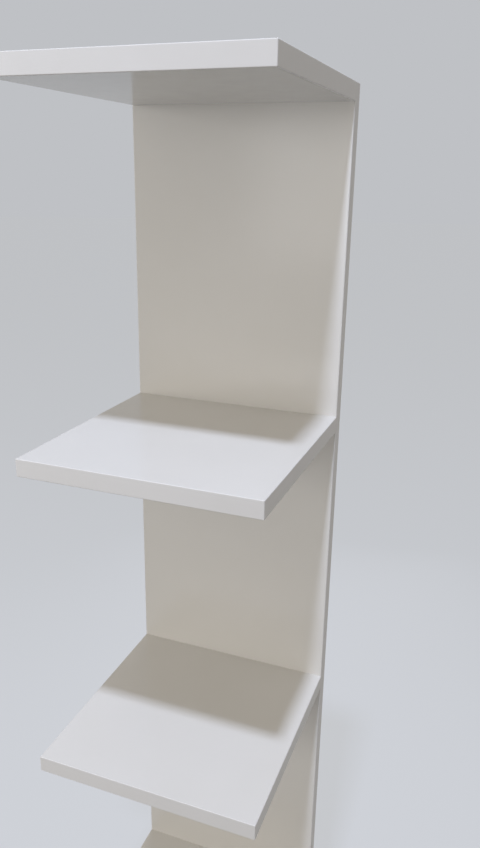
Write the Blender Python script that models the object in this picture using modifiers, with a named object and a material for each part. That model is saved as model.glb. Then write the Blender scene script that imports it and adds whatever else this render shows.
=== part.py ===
"""White column shelf: square shelves butted to the front of one tall back panel.

Metres, +Z up. The front faces -Y and +X is on the viewer's right. The origin is on the floor under the
middle of the whole unit. Shelf 1 is the base and the last shelf is the top.
"""

import math

import bmesh
import bpy

MM = 0.001

# Driving sizes of the whole unit
SHELF_COUNT = 5
SHELF_WIDTH = 300 * MM
SHELF_DEPTH = 300 * MM
SHELF_THICKNESS = 22 * MM
SHELF_PITCH = 418 * MM
PANEL_THICKNESS = 22 * MM
FLOOR_CLEARANCE = 6 * MM

# Edging strip on the visible edges of the boards
BAND_THICKNESS = 1 * MM
BAND_ARRIS = 0.6 * MM
BAND_ARRIS_MOST_SHARE = 0.8
GLUE_LINE = 0.3 * MM

# Clearances between pieces that touch
JOINT_GAP = 0.3 * MM
SEAT_GAP = 0.3 * MM
HOLE_CLEARANCE = 0.3 * MM
HOLE_END_CLEARANCE = 1 * MM
CUT_OVERRUN = 2 * MM

# Shelf screws, driven from behind through the panel into the shelf's back edge
SCREW_INSET = 37 * MM
SCREW_LENGTH = 70 * MM
SCREW_HEAD_RADIUS = 5 * MM
SCREW_HEAD_RIM = 1 * MM
SCREW_HEAD_CONE = 2 * MM
SCREW_HEAD_SINK = 0.5 * MM
SCREW_NECK_RADIUS = 3.5 * MM
SCREW_THREAD_RADIUS = 3 * MM
SCREW_TIP_RADIUS = 1.5 * MM
SCREW_TIP_LENGTH = 5 * MM
SOCKET_ACROSS_FLATS = 4 * MM
SOCKET_DEPTH = 2.5 * MM

# Dowels beside the screws
DOWEL_OFFSET = 64 * MM
DOWEL_RADIUS = 4 * MM
DOWEL_LENGTH = 30 * MM
DOWEL_IN_PANEL = 12 * MM
DOWEL_CHAMFER = 1 * MM

# Floor glides, halfway between a shelf screw and the side
GLIDE_PLACE_SHARE = 0.5
GLIDE_RADIUS = 8.5 * MM
GLIDE_FOOT_RADIUS = 6.5 * MM
GLIDE_RIM = 2.5 * MM
GLIDE_PEG_RADIUS = 2.5 * MM
GLIDE_PEG_LENGTH = 12 * MM
GLIDE_PEG_CHAMFER = 0.6 * MM

# Keyhole hanger plates, let into the panel's back
HANGER_SPACING = 150 * MM
HANGER_DROP = 80 * MM
PLATE_WIDTH = 20 * MM
PLATE_LENGTH = 58 * MM
PLATE_THICKNESS = 2 * MM
PLATE_HOLE_SPACING = 43 * MM
ENTRY_RADIUS = 4.75 * MM
SLOT_RADIUS = 2.5 * MM
SLOT_RISE = 12 * MM
WELL_MARGIN = 1.25 * MM
WELL_DEPTH = 7 * MM

# Small countersunk screws that hold the hanger plates
PLATE_SCREW_LENGTH = 16 * MM
PLATE_SCREW_HEAD_RADIUS = 3.5 * MM
PLATE_SCREW_SHANK_RADIUS = 1.75 * MM
PLATE_SCREW_TIP_RADIUS = 0.5 * MM
PLATE_SCREW_TIP_LENGTH = 3 * MM
PLATE_SCREW_SLOT_WIDTH = 0.9 * MM
PLATE_SCREW_SLOT_DEPTH = 0.9 * MM

# Facets
ROUND_STEPS = 16
SMALL_ROUND_STEPS = 12
ARC_STEPS = 10
ARRIS_SEGMENTS = 2
SOCKET_SIDES = 6
MERGE_DISTANCE = 0.01 * MM
SMOOTH_ANGLE = math.radians(35)
QUARTER_TURN = math.pi / 2

# Places that follow from the sizes above
half_width = SHELF_WIDTH / 2
overall_depth = SHELF_DEPTH + PANEL_THICKNESS
front_y = -overall_depth / 2
back_y = overall_depth / 2
panel_front_y = back_y - PANEL_THICKNESS
panel_middle_y = back_y - PANEL_THICKNESS / 2
shelf_back_y = panel_front_y - JOINT_GAP
bottom_z = FLOOR_CLEARANCE
top_z = bottom_z + (SHELF_COUNT - 1) * SHELF_PITCH + SHELF_THICKNESS
band_total = BAND_THICKNESS + GLUE_LINE
screw_x = half_width - SCREW_INSET
dowel_x = screw_x - DOWEL_OFFSET
glide_inset = SCREW_INSET * GLIDE_PLACE_SHARE
screw_head_depth = SCREW_HEAD_SINK + SCREW_HEAD_RIM
screw_cone_depth = screw_head_depth + SCREW_HEAD_CONE
pocket_depth = PLATE_THICKNESS + SEAT_GAP
hanger_z = top_z - HANGER_DROP
hanger_x = HANGER_SPACING / 2


def shelf_middle_z(number):
    """Height of the middle of a shelf's thickness."""
    return bottom_z + (number - 1) * SHELF_PITCH + SHELF_THICKNESS / 2


# Scene, collections and materials


def clear_scene():
    for thing in list(bpy.data.objects):
        bpy.data.objects.remove(thing)


def new_collection(name, inside):
    made = bpy.data.collections.new(name)
    inside.children.link(made)
    return made


def linear(channel):
    """One sRGB channel as the linear value that a shader takes."""
    if channel <= 0.04045:
        return channel / 12.92
    return ((channel + 0.055) / 1.055) ** 2.4


def new_material(name, hex_colour, roughness, metallic):
    made = bpy.data.materials.new(name)
    made.use_nodes = True
    shader = made.node_tree.nodes["Principled BSDF"]
    channels = [int(hex_colour[i : i + 2], 16) / 255 for i in (1, 3, 5)]
    colour = [linear(channel) for channel in channels]
    shader.inputs["Base Color"].default_value = (*colour, 1)
    shader.inputs["Roughness"].default_value = roughness
    shader.inputs["Metallic"].default_value = metallic
    made.diffuse_color = (*colour, 1)
    return made


clear_scene()
parts = new_collection("column_shelf", bpy.context.scene.collection)
cutters = new_collection("column_shelf_cutters", bpy.context.scene.collection)


# Making meshes and objects


def add_object(name, mesh, place, material, turn=(0, 0, 0)):
    """A part of the unit, at its place. Like parts may share one mesh."""
    made = bpy.data.objects.new(name, mesh)
    made.location = place
    made.rotation_euler = turn
    if not mesh.materials:
        mesh.materials.append(material)
    parts.objects.link(made)
    return made


def add_cutter(name, mesh, place, group, turn=(0, 0, 0)):
    made = bpy.data.objects.new(name, mesh)
    made.location = place
    made.rotation_euler = turn
    made.hide_render = True
    made.display_type = "WIRE"
    group.objects.link(made)
    return made


def cut(board, group):
    """Cuts every shape of a group of cutters out of a board."""
    boolean = board.modifiers.new(group.name, "BOOLEAN")
    boolean.operation = "DIFFERENCE"
    boolean.solver = "EXACT"
    boolean.operand_type = "COLLECTION"
    boolean.collection = group


def finished_mesh(source):
    """The mesh of an object with its modifiers applied. The object itself goes."""
    bpy.context.view_layer.update()
    evaluated = source.evaluated_get(bpy.context.evaluated_depsgraph_get())
    mesh = bpy.data.meshes.new_from_object(evaluated)
    mesh.name = source.name
    bpy.data.objects.remove(source)
    return mesh


def smooth(mesh):
    mesh.shade_smooth()
    mesh.set_sharp_from_angle(angle=SMOOTH_ANGLE)
    return mesh


def box_mesh(name, size):
    """A box centred on its own origin."""
    mesh = bpy.data.meshes.new(name)
    shape = bmesh.new()
    bmesh.ops.create_cube(shape, size=1)
    bmesh.ops.scale(shape, vec=size, verts=shape.verts)
    shape.to_mesh(mesh)
    shape.free()
    return mesh


def turned_mesh(name, profile, steps):
    """A shape turned about Z. The profile runs down its outer side as (radius, height) points."""
    mesh = bpy.data.meshes.new(name)
    shape = bmesh.new()
    points = [shape.verts.new((radius, 0, height)) for radius, height in profile]
    for upper, lower in zip(points, points[1:]):
        shape.edges.new((upper, lower))
    shape.to_mesh(mesh)
    shape.free()
    source = bpy.data.objects.new(name, mesh)
    parts.objects.link(source)
    screw = source.modifiers.new("turn", "SCREW")
    screw.steps = steps
    screw.render_steps = steps
    screw.use_merge_vertices = True
    screw.merge_threshold = MERGE_DISTANCE
    return smooth(finished_mesh(source))


def arc(centre_y, radius, start, end):
    """Points on an arc about (0, centre_y), both ends included."""
    step = (end - start) / ARC_STEPS
    angles = [start + step * i for i in range(ARC_STEPS + 1)]
    return [(radius * math.cos(a), centre_y + radius * math.sin(a)) for a in angles]


def round_ended_outline(width, length):
    """A strip's outline with half-round ends, long side along Y."""
    end_y = (length - width) / 2
    upper = arc(end_y, width / 2, 0, math.pi)
    lower = arc(-end_y, width / 2, math.pi, 2 * math.pi)
    return upper + lower


def keyhole_outline(entry_y):
    """The round entry at the bottom and the narrow slot that rises from it."""
    side_angle = math.acos(SLOT_RADIUS / ENTRY_RADIUS)
    entry = arc(entry_y, ENTRY_RADIUS, math.pi - side_angle, 2 * math.pi + side_angle)
    slot_end = arc(entry_y + SLOT_RISE, SLOT_RADIUS, 0, math.pi)
    return entry + slot_end


def flat_mesh(name, outlines, thickness):
    """A flat shape about the XY plane. Outlines inside the first one are holes."""
    curve = bpy.data.curves.new(name, "CURVE")
    curve.dimensions = "2D"
    curve.fill_mode = "BOTH"
    curve.extrude = thickness / 2
    for outline in outlines:
        spline = curve.splines.new("POLY")
        spline.points.add(len(outline) - 1)
        for point, (x, y) in zip(spline.points, outline):
            point.co = (x, y, 0, 1)
        spline.use_cyclic_u = True
    source = bpy.data.objects.new(name, curve)
    parts.objects.link(source)
    mesh = finished_mesh(source)
    shape = bmesh.new()
    shape.from_mesh(mesh)
    bmesh.ops.remove_doubles(shape, verts=shape.verts, dist=MERGE_DISTANCE)
    bmesh.ops.recalc_face_normals(shape, faces=shape.faces)
    shape.to_mesh(mesh)
    shape.free()
    return mesh


# Drilling: the shapes that the hardware needs out of the boards


def screw_hole_profile():
    """A shelf screw's way through the panel, measured from the panel's back face."""
    head = SCREW_HEAD_RADIUS + HOLE_CLEARANCE
    neck = SCREW_NECK_RADIUS + HOLE_CLEARANCE
    through = PANEL_THICKNESS + CUT_OVERRUN
    return [
        (0, CUT_OVERRUN),
        (head, CUT_OVERRUN),
        (head, -screw_head_depth - HOLE_CLEARANCE),
        (neck, -screw_cone_depth - HOLE_CLEARANCE),
        (neck, -through),
        (0, -through),
    ]


def bar_profile(radius, high, low):
    return [(0, high), (radius, high), (radius, low), (0, low)]


def drill_panel():
    """Holes for every shelf's screws and dowels, and the hangers' pockets, wells and pilot holes."""
    group = new_collection("panel_cutters", cutters)
    screw_hole = turned_mesh("screw_hole", screw_hole_profile(), ROUND_STEPS)
    dowel_depth = DOWEL_IN_PANEL + HOLE_END_CLEARANCE
    dowel_bar = bar_profile(DOWEL_RADIUS + HOLE_CLEARANCE, dowel_depth, -CUT_OVERRUN)
    dowel_hole = turned_mesh("dowel_hole_in_panel", dowel_bar, ROUND_STEPS)
    for number in range(1, SHELF_COUNT + 1):
        z = shelf_middle_z(number)
        for side in (-1, 1):
            place = (side * screw_x, back_y, z)
            add_cutter("screw_hole", screw_hole, place, group, (-QUARTER_TURN, 0, 0))
            place = (side * dowel_x, panel_front_y, z)
            add_cutter("dowel_hole", dowel_hole, place, group, (-QUARTER_TURN, 0, 0))

    pocket_outline = round_ended_outline(PLATE_WIDTH + 2 * SEAT_GAP, PLATE_LENGTH + 2 * SEAT_GAP)
    pocket_cut = pocket_depth + CUT_OVERRUN
    pocket = flat_mesh("hanger_pocket", [pocket_outline], pocket_cut)
    well_width = 2 * (ENTRY_RADIUS + WELL_MARGIN)
    well_cut = pocket_depth + WELL_DEPTH + CUT_OVERRUN
    well = flat_mesh("hanger_well", [round_ended_outline(well_width, well_width + SLOT_RISE)], well_cut)
    pilot_low = -SEAT_GAP - PLATE_SCREW_LENGTH - HOLE_END_CLEARANCE
    pilot_bar = bar_profile(PLATE_SCREW_SHANK_RADIUS + HOLE_CLEARANCE, CUT_OVERRUN, pilot_low)
    pilot = turned_mesh("plate_screw_hole_in_panel", pilot_bar, SMALL_ROUND_STEPS)
    for side in (-1, 1):
        x = side * hanger_x
        pocket_y = back_y + CUT_OVERRUN - pocket_cut / 2
        add_cutter("hanger_pocket", pocket, (x, pocket_y, hanger_z), group, (QUARTER_TURN, 0, 0))
        well_y = back_y + CUT_OVERRUN - well_cut / 2
        add_cutter("hanger_well", well, (x, well_y, hanger_z), group, (QUARTER_TURN, 0, 0))
        for end in (-1, 1):
            place = (x, back_y, hanger_z + end * PLATE_HOLE_SPACING / 2)
            add_cutter("plate_screw_hole", pilot, place, group, (-QUARTER_TURN, 0, 0))
    return group


def drill_shelf(number):
    """Holes in a shelf's back edge for its two screws and two dowels."""
    group = new_collection(f"shelf_{number}_cutters", cutters)
    screw_depth = SCREW_LENGTH + SCREW_HEAD_SINK - PANEL_THICKNESS + HOLE_END_CLEARANCE
    screw_bar = bar_profile(SCREW_THREAD_RADIUS + HOLE_CLEARANCE, CUT_OVERRUN, -screw_depth)
    dowel_depth = DOWEL_LENGTH - DOWEL_IN_PANEL + HOLE_END_CLEARANCE
    dowel_bar = bar_profile(DOWEL_RADIUS + HOLE_CLEARANCE, CUT_OVERRUN, -dowel_depth)
    screw_hole = turned_mesh("screw_hole_in_shelf", screw_bar, ROUND_STEPS)
    dowel_hole = turned_mesh("dowel_hole_in_shelf", dowel_bar, ROUND_STEPS)
    z = shelf_middle_z(number)
    for side in (-1, 1):
        for hole, x in ((screw_hole, screw_x), (dowel_hole, dowel_x)):
            place = (side * x, panel_front_y, z)
            add_cutter(hole.name, hole, place, group, (-QUARTER_TURN, 0, 0))
    return group


def glide_places():
    """Each glide's name and its place on the floor."""
    x = half_width - glide_inset
    front = front_y + glide_inset
    return {
        "glide_front_left": (-x, front, 0),
        "glide_front_right": (x, front, 0),
        "glide_rear_left": (-x, panel_middle_y, 0),
        "glide_rear_right": (x, panel_middle_y, 0),
    }


def drill_for_glides():
    """Peg holes in the underside of the base and in the panel's bottom end."""
    group = new_collection("glide_cutters", cutters)
    high = bottom_z + GLIDE_PEG_LENGTH + HOLE_END_CLEARANCE
    low = bottom_z - CUT_OVERRUN
    peg_bar = bar_profile(GLIDE_PEG_RADIUS + HOLE_CLEARANCE, high, low)
    hole = turned_mesh("glide_peg_hole", peg_bar, SMALL_ROUND_STEPS)
    for name, place in glide_places().items():
        add_cutter(f"{name}_hole", hole, place, group)
    return group


# Edging


def add_band(name, low, high, outward, material, wraps):
    """A strip of edging between two corners, its outer arrises eased.

    outward is the direction that the strip faces. A strip that wraps is eased round its ends too; one that
    ends against another piece is eased along its length alone.
    """
    size = [top - bottom for bottom, top in zip(low, high)]
    centre = [(top + bottom) / 2 for bottom, top in zip(low, high)]
    mesh = box_mesh(name, size)
    thin = max(range(3), key=lambda axis: abs(outward[axis]))
    long = max(range(3), key=lambda axis: size[axis])
    shape = bmesh.new()
    shape.from_mesh(mesh)
    weight = shape.edges.layers.float.new("bevel_weight_edge")
    for edge in shape.edges:
        ends = [vert.co[thin] * outward[thin] for vert in edge.verts]
        run = [abs(edge.verts[0].co[axis] - edge.verts[1].co[axis]) for axis in range(3)]
        lengthwise = run[long] > run[thin] and min(ends) > 0
        if lengthwise or (wraps and max(ends) > 0):
            edge[weight] = 1
    shape.to_mesh(mesh)
    shape.free()
    band = add_object(name, mesh, centre, material)
    bevel = band.modifiers.new("arris", "BEVEL")
    bevel.limit_method = "WEIGHT"
    bevel.width = min(BAND_ARRIS, BAND_THICKNESS * BAND_ARRIS_MOST_SHARE)
    bevel.segments = ARRIS_SEGMENTS
    return band


# The back panel


def add_panel(panel_holes, glide_holes):
    low = (-half_width + band_total, panel_front_y, bottom_z + band_total)
    high = (half_width - band_total, back_y, top_z - band_total)
    size = [top - bottom for bottom, top in zip(low, high)]
    centre = [(top + bottom) / 2 for bottom, top in zip(low, high)]
    board = add_object("back_panel_board", box_mesh("back_panel_board", size), centre, faced_board)
    cut(board, panel_holes)
    cut(board, glide_holes)

    for name, side in (("left", -1), ("right", 1)):
        x = sorted((side * half_width, side * (half_width - BAND_THICKNESS)))
        add_band(
            f"back_panel_band_{name}",
            (x[0], panel_front_y, bottom_z),
            (x[1], back_y, top_z),
            (side, 0, 0),
            edging,
            wraps=True,
        )
    for name, side, z in (("bottom", -1, bottom_z), ("top", 1, top_z)):
        height = sorted((z, z - side * BAND_THICKNESS))
        band = add_band(
            f"back_panel_band_{name}",
            (low[0], panel_front_y, height[0]),
            (high[0], back_y, height[1]),
            (0, 0, side),
            edging,
            wraps=False,
        )
        if side < 0:
            cut(band, glide_holes)


# A shelf with its edging and its hardware


def add_shelf(number, screw, dowel, glide_holes):
    z = shelf_middle_z(number)
    low_z = z - SHELF_THICKNESS / 2
    high_z = z + SHELF_THICKNESS / 2
    low = (-half_width + band_total, front_y + band_total, low_z)
    high = (half_width - band_total, shelf_back_y, high_z)
    size = [top - bottom for bottom, top in zip(low, high)]
    centre = [(top + bottom) / 2 for bottom, top in zip(low, high)]
    name = f"shelf_{number}_board"
    board = add_object(name, box_mesh(name, size), centre, faced_board)
    cut(board, drill_shelf(number))
    if number == 1:
        cut(board, glide_holes)

    add_band(
        f"shelf_{number}_band_front",
        (-half_width, front_y, low_z),
        (half_width, front_y + BAND_THICKNESS, high_z),
        (0, -1, 0),
        edging,
        wraps=True,
    )
    for side_name, side in (("left", -1), ("right", 1)):
        x = sorted((side * half_width, side * (half_width - BAND_THICKNESS)))
        add_band(
            f"shelf_{number}_band_{side_name}",
            (x[0], low[1], low_z),
            (x[1], shelf_back_y, high_z),
            (side, 0, 0),
            edging,
            wraps=False,
        )
        turn = (-QUARTER_TURN, 0, 0)
        screw_place = (side * screw_x, back_y - SCREW_HEAD_SINK, z)
        add_object(f"shelf_{number}_screw_{side_name}", screw, screw_place, zinc, turn)
        dowel_place = (side * dowel_x, panel_front_y + DOWEL_IN_PANEL, z)
        add_object(f"shelf_{number}_dowel_{side_name}", dowel, dowel_place, beech, turn)


def shelf_screw_mesh():
    """A furniture screw with a countersunk head and a hexagon socket, its head's top at the origin."""
    neck_end = PANEL_THICKNESS - SCREW_HEAD_SINK
    profile = [
        (0, 0),
        (SCREW_HEAD_RADIUS, 0),
        (SCREW_HEAD_RADIUS, -SCREW_HEAD_RIM),
        (SCREW_NECK_RADIUS, -SCREW_HEAD_RIM - SCREW_HEAD_CONE),
        (SCREW_NECK_RADIUS, -neck_end),
        (SCREW_THREAD_RADIUS, -neck_end),
        (SCREW_THREAD_RADIUS, -SCREW_LENGTH + SCREW_TIP_LENGTH),
        (SCREW_TIP_RADIUS, -SCREW_LENGTH),
        (0, -SCREW_LENGTH),
    ]
    group = new_collection("socket_cutters", cutters)
    socket_radius = SOCKET_ACROSS_FLATS / 2 / math.cos(math.pi / SOCKET_SIDES)
    socket_bar = bar_profile(socket_radius, CUT_OVERRUN, -SOCKET_DEPTH)
    add_cutter("screw_socket", turned_mesh("screw_socket", socket_bar, SOCKET_SIDES), (0, 0, 0), group)
    blank = bpy.data.objects.new("shelf_screw", turned_mesh("shelf_screw", profile, ROUND_STEPS))
    parts.objects.link(blank)
    cut(blank, group)
    return smooth(finished_mesh(blank))


def dowel_mesh():
    """A dowel with chamfered ends. It runs down from its end in the panel."""
    inner = DOWEL_RADIUS - DOWEL_CHAMFER
    profile = [
        (0, 0),
        (inner, 0),
        (DOWEL_RADIUS, -DOWEL_CHAMFER),
        (DOWEL_RADIUS, -DOWEL_LENGTH + DOWEL_CHAMFER),
        (inner, -DOWEL_LENGTH),
        (0, -DOWEL_LENGTH),
    ]
    return turned_mesh("dowel", profile, ROUND_STEPS)


# Floor glides


def add_glides():
    """Moulded glides: a foot with a bevelled rim, and a peg that is pressed into the board."""
    seat = FLOOR_CLEARANCE - SEAT_GAP
    peg_top = bottom_z + GLIDE_PEG_LENGTH
    profile = [
        (0, peg_top),
        (GLIDE_PEG_RADIUS - GLIDE_PEG_CHAMFER, peg_top),
        (GLIDE_PEG_RADIUS, peg_top - GLIDE_PEG_CHAMFER),
        (GLIDE_PEG_RADIUS, seat),
        (GLIDE_RADIUS, seat),
        (GLIDE_RADIUS, seat - GLIDE_RIM),
        (GLIDE_FOOT_RADIUS, 0),
        (0, 0),
    ]
    mesh = turned_mesh("floor_glide", profile, ROUND_STEPS)
    for name, place in glide_places().items():
        add_object(name, mesh, place, nylon)


# Wall hangers


def plate_screw_mesh():
    """A small countersunk wood screw with a slot, its head's top at the origin."""
    head_height = PLATE_SCREW_HEAD_RADIUS - PLATE_SCREW_SHANK_RADIUS
    profile = [
        (0, 0),
        (PLATE_SCREW_HEAD_RADIUS, 0),
        (PLATE_SCREW_SHANK_RADIUS, -head_height),
        (PLATE_SCREW_SHANK_RADIUS, -PLATE_SCREW_LENGTH + PLATE_SCREW_TIP_LENGTH),
        (PLATE_SCREW_TIP_RADIUS, -PLATE_SCREW_LENGTH),
        (0, -PLATE_SCREW_LENGTH),
    ]
    group = new_collection("slot_cutters", cutters)
    slot_size = (
        2 * (PLATE_SCREW_HEAD_RADIUS + CUT_OVERRUN),
        PLATE_SCREW_SLOT_WIDTH,
        2 * PLATE_SCREW_SLOT_DEPTH,
    )
    add_cutter("plate_screw_slot", box_mesh("plate_screw_slot", slot_size), (0, 0, 0), group)
    blank_mesh = turned_mesh("plate_screw", profile, SMALL_ROUND_STEPS)
    blank = bpy.data.objects.new("plate_screw", blank_mesh)
    parts.objects.link(blank)
    cut(blank, group)
    return smooth(finished_mesh(blank))


def hanger_plate_mesh():
    """A steel plate with a keyhole and two countersunk holes. It faces along +Z, its top along +Y."""
    outline = round_ended_outline(PLATE_WIDTH, PLATE_LENGTH)
    keyhole = keyhole_outline(-SLOT_RISE / 2)
    blank_mesh = flat_mesh("hanger_plate", [outline, keyhole], PLATE_THICKNESS)
    blank = bpy.data.objects.new("hanger_plate", blank_mesh)
    parts.objects.link(blank)
    group = new_collection("plate_cutters", cutters)
    head = PLATE_SCREW_HEAD_RADIUS + HOLE_CLEARANCE
    shank = PLATE_SCREW_SHANK_RADIUS + HOLE_CLEARANCE
    cone = head - shank
    through = PLATE_THICKNESS + CUT_OVERRUN
    profile = [
        (0, CUT_OVERRUN),
        (head, CUT_OVERRUN),
        (head, -SEAT_GAP),
        (shank, -SEAT_GAP - cone),
        (shank, -through),
        (0, -through),
    ]
    hole = turned_mesh("plate_hole", profile, SMALL_ROUND_STEPS)
    for end in (-1, 1):
        place = (0, end * PLATE_HOLE_SPACING / 2, PLATE_THICKNESS / 2)
        add_cutter("plate_hole", hole, place, group)
    cut(blank, group)
    return finished_mesh(blank)


def add_hangers():
    plate = hanger_plate_mesh()
    screw = plate_screw_mesh()
    plate_y = back_y - PLATE_THICKNESS / 2
    for side_name, side in (("left", -1), ("right", 1)):
        x = side * hanger_x
        place = (x, plate_y, hanger_z)
        add_object(f"hanger_plate_{side_name}", plate, place, hanger_steel, (QUARTER_TURN, 0, math.pi))
        for end_name, end in (("lower", -1), ("upper", 1)):
            place = (x, back_y - SEAT_GAP, hanger_z + end * PLATE_HOLE_SPACING / 2)
            name = f"hanger_screw_{side_name}_{end_name}"
            add_object(name, screw, place, zinc, (-QUARTER_TURN, 0, 0))


# Putting the unit together

faced_board = new_material("white_faced_board", "#dcdad6", 0.42, 0)
edging = new_material("white_edging", "#dad8d5", 0.45, 0)
zinc = new_material("zinc_plated_screw", "#c4c3bd", 0.35, 1)
hanger_steel = new_material("zinc_plated_hanger", "#b9bcc0", 0.35, 1)
beech = new_material("beech_dowel", "#c9a878", 0.65, 0)
nylon = new_material("nylon_glide", "#e6e4de", 0.5, 0)
glide_holes = drill_for_glides()
add_panel(drill_panel(), glide_holes)
shelf_screw = shelf_screw_mesh()
dowel = dowel_mesh()
for shelf_number in range(1, SHELF_COUNT + 1):
    add_shelf(shelf_number, shelf_screw, dowel, glide_holes)
add_glides()
add_hangers()
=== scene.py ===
import math

import bmesh
import bpy
from mathutils import Matrix, Vector


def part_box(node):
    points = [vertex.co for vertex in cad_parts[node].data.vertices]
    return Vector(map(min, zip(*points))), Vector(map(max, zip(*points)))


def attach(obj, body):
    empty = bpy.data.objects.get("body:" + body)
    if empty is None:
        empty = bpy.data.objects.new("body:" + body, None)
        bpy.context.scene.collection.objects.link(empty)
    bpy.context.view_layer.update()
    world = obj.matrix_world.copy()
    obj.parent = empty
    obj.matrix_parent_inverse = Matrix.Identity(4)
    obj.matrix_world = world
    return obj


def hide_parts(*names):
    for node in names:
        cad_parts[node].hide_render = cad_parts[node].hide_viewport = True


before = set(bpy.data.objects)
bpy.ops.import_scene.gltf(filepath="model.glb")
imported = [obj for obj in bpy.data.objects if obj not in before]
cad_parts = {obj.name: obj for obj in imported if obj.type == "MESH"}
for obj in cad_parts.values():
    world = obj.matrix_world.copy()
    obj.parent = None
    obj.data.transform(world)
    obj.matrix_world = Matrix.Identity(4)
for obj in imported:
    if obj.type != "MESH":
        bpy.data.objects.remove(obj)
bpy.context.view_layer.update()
bpy.ops.object.select_all(action="DESELECT")


# The back panel's board is 22 mm chipboard with white melamine paper pressed on both faces. It is sawn to
# size, drilled through for the shelf screws, bored in front for the dowels and below for the glides' pegs,
# and routed near its top for two keyhole plates. Raw chipboard shows only inside the holes.

MM = 0.001
MELAMINE_WHITE = "#dedbd6"
MELAMINE_SHADE = "#dad7d1"
WHITE_PATCH = 90 * MM
SHEEN_PATCH = 28 * MM
PEARL = 2 * MM
PEARL_RELIEF = 0.02 * MM

# The Mix node has sockets of the same names for numbers, vectors and colours. These are the colour ones.
MIX_FIRST = 6
MIX_SECOND = 7
MIX_COLOUR = 2


def linear(hex_colour):
    """An sRGB hex colour as the linear colour that a shader takes."""
    channels = [int(hex_colour[i : i + 2], 16) / 255 for i in (1, 3, 5)]
    return [c / 12.92 if c <= 0.04045 else ((c + 0.055) / 1.055) ** 2.4 for c in channels] + [1]


def add_node(tree, kind, values=None, links=None, **settings):
    """Adds one node with its settings, the values on its sockets and the links into it."""
    made = tree.nodes.new(kind)
    for name, value in settings.items():
        setattr(made, name, value)
    for socket, value in (values or {}).items():
        made.inputs[socket].default_value = value
    for socket, source in (links or {}).items():
        tree.links.new(source, made.inputs[socket])
    return made


def new_finish(name, metallic=0.0, ior=1.5):
    """A material of one Principled shader. Its colour, roughness and bump come in its own section."""
    material = bpy.data.materials.new(name)
    material.use_nodes = True
    shader = material.node_tree.nodes["Principled BSDF"]
    shader.inputs["Metallic"].default_value = metallic
    shader.inputs["IOR"].default_value = ior
    return material, material.node_tree, shader


# Melamine paper pressed against a lightly pearled plate: an even white with a satin sheen. The pearls are
# 0.6 mm on the real board and are drawn at 2 mm, so that they still break the sheen up a little.
melamine, tree, shader = new_finish("pressed_white_melamine")
place = add_node(tree, "ShaderNodeTexCoord").outputs["Object"]
patches = add_node(tree, "ShaderNodeTexNoise", {"Scale": 1 / WHITE_PATCH, "Detail": 3}, {"Vector": place})
white = add_node(
    tree,
    "ShaderNodeMix",
    {MIX_FIRST: linear(MELAMINE_WHITE), MIX_SECOND: linear(MELAMINE_SHADE)},
    {"Factor": patches.outputs["Fac"]},
    data_type="RGBA",
)
sheen = add_node(tree, "ShaderNodeTexNoise", {"Scale": 1 / SHEEN_PATCH, "Detail": 5}, {"Vector": place})
gloss = add_node(
    tree, "ShaderNodeMapRange", {"To Min": 0.15, "To Max": 0.2}, {"Value": sheen.outputs["Fac"]}
)
pearls = add_node(tree, "ShaderNodeTexNoise", {"Scale": 1 / PEARL, "Detail": 1}, {"Vector": place})
relief = add_node(
    tree, "ShaderNodeBump", {"Strength": 0.25, "Distance": PEARL_RELIEF}, {"Height": pearls.outputs["Fac"]}
)
tree.links.new(white.outputs[MIX_COLOUR], shader.inputs["Base Color"])
tree.links.new(gloss.outputs["Result"], shader.inputs["Roughness"])
tree.links.new(relief.outputs["Normal"], shader.inputs["Normal"])

CHIP_LIGHT = "#c9ab7d"
CHIP_DARK = "#8a683f"
CHIP_MIDDLE = "#ad8a5a"
FLAKE_LENGTH = 2.5 * MM
FLAKE_FLATNESS = 3
FLAKE_RELIEF = 0.3 * MM
CHIP_FIBRE = 0.7 * MM

# Drilled chipboard: glued wood flakes 2 to 3 mm long that lie flat in the panel. It is dull and speckled in
# light and dark browns, with small pits between the flakes.
chipboard, tree, shader = new_finish("cut_chipboard")
place = add_node(tree, "ShaderNodeTexCoord").outputs["Object"]
flat = add_node(tree, "ShaderNodeMapping", {"Scale": (1, FLAKE_FLATNESS, 1)}, {"Vector": place})
flakes = add_node(
    tree, "ShaderNodeTexVoronoi", {"Scale": 1 / FLAKE_LENGTH}, {"Vector": flat.outputs["Vector"]}
)
shade = add_node(tree, "ShaderNodeSeparateColor", links={"Color": flakes.outputs["Color"]})
speckled = add_node(
    tree,
    "ShaderNodeMix",
    {MIX_FIRST: linear(CHIP_DARK), MIX_SECOND: linear(CHIP_LIGHT)},
    {"Factor": shade.outputs["Red"]},
    data_type="RGBA",
)
fibres = add_node(tree, "ShaderNodeTexNoise", {"Scale": 1 / CHIP_FIBRE, "Detail": 4}, {"Vector": place})
wood = add_node(
    tree,
    "ShaderNodeMix",
    {MIX_SECOND: linear(CHIP_MIDDLE)},
    {"Factor": fibres.outputs["Fac"], MIX_FIRST: speckled.outputs[MIX_COLOUR]},
    data_type="RGBA",
)
relief = add_node(
    tree,
    "ShaderNodeBump",
    {"Strength": 0.9, "Distance": FLAKE_RELIEF},
    {"Height": flakes.outputs["Distance"]},
)
shader.inputs["Roughness"].default_value = 0.85
tree.links.new(wood.outputs[MIX_COLOUR], shader.inputs["Base Color"])
tree.links.new(relief.outputs["Normal"], shader.inputs["Normal"])

GLUE_SEAM = 0.05 * MM


def only(piece):
    """Selects one object and nothing else."""
    bpy.ops.object.select_all(action="DESELECT")
    piece.select_set(True)
    bpy.context.view_layer.objects.active = piece


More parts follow.
